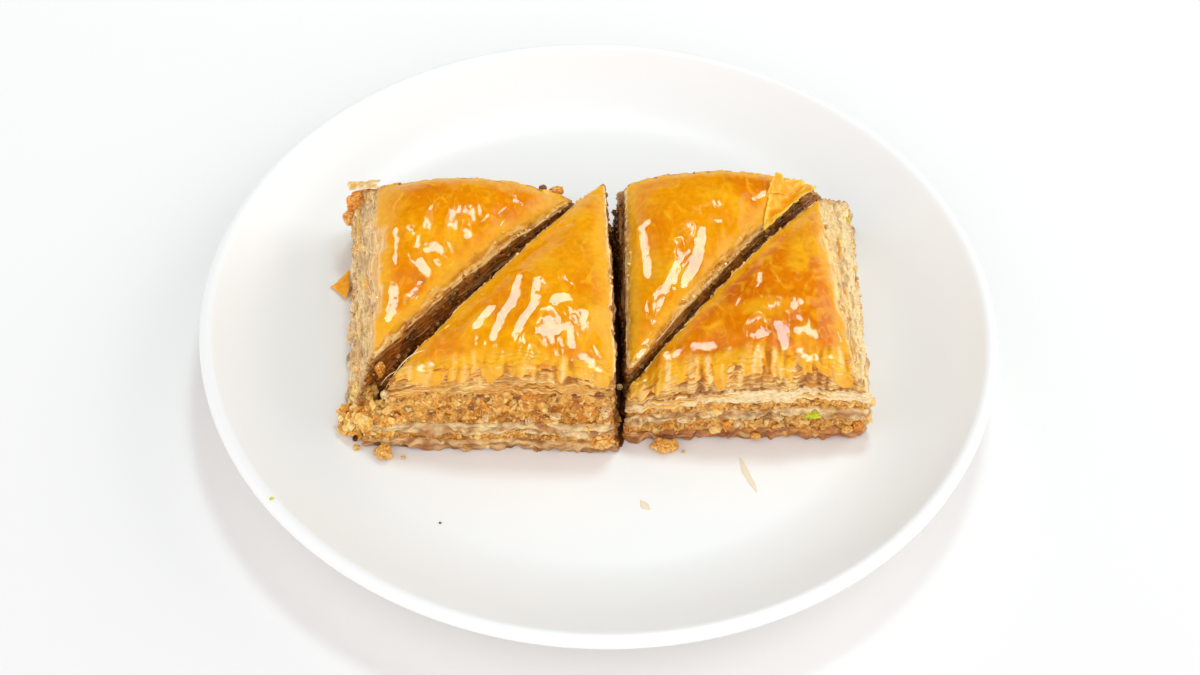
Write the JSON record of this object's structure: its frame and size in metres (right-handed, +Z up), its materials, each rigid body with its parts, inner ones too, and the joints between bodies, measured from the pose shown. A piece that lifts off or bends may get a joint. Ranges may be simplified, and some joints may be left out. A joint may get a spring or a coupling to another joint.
{
  "type": "walnut baklava",
  "caption": "Walnut baklava squares cut corner to corner, with a glazed flaky crust over pastry and walnut layers, on a round white coupe plate.",
  "frame": {"origin": "the middle of the plate's foot, on the table", "axes": "+Z up, +Y away from the viewer over the long side of the food, +X to the viewer's right"},
  "size_m": [0.2, 0.2, 0.0375],
  "materials": {
    "porcelain": "glossy white glaze",
    "glazed_crust": "crisp baked pastry leaves under a syrup glaze, amber",
    "soaked_pastry": "pastry leaves soaked in syrup, pale and wet",
    "walnut_filling": "chopped walnuts bound with syrup",
    "walnut_kernel": "golden broken walnut kernel",
    "pale_leaf": "thin pale baked leaf with a little syrup"
  },
  "bodies": {
    "root": {"plate": "porcelain", "front_left_base_pastry": "soaked_pastry", "front_left_lower_walnuts": "walnut_filling", "front_left_middle_pastry": "soaked_pastry", "front_left_upper_walnuts": "walnut_filling", "front_left_crust": "glazed_crust", "back_left_base_pastry": "soaked_pastry", "back_left_lower_walnuts": "walnut_filling", "back_left_middle_pastry": "soaked_pastry", "back_left_upper_walnuts": "walnut_filling", "back_left_crust": "glazed_crust", "front_right_base_pastry": "soaked_pastry", "front_right_lower_walnuts": "walnut_filling", "front_right_middle_pastry": "soaked_pastry", "front_right_upper_walnuts": "walnut_filling", "front_right_crust": "glazed_crust", "back_right_base_pastry": "soaked_pastry", "back_right_lower_walnuts": "walnut_filling", "back_right_middle_pastry": "soaked_pastry", "back_right_upper_walnuts": "walnut_filling", "back_right_crust": "glazed_crust", "torn_leaf": "pale_leaf", "stray_flake": "glazed_crust", "walnut_bit_left": "walnut_kernel", "walnut_bit_right": "walnut_kernel"}
  },
  "joints": []
}
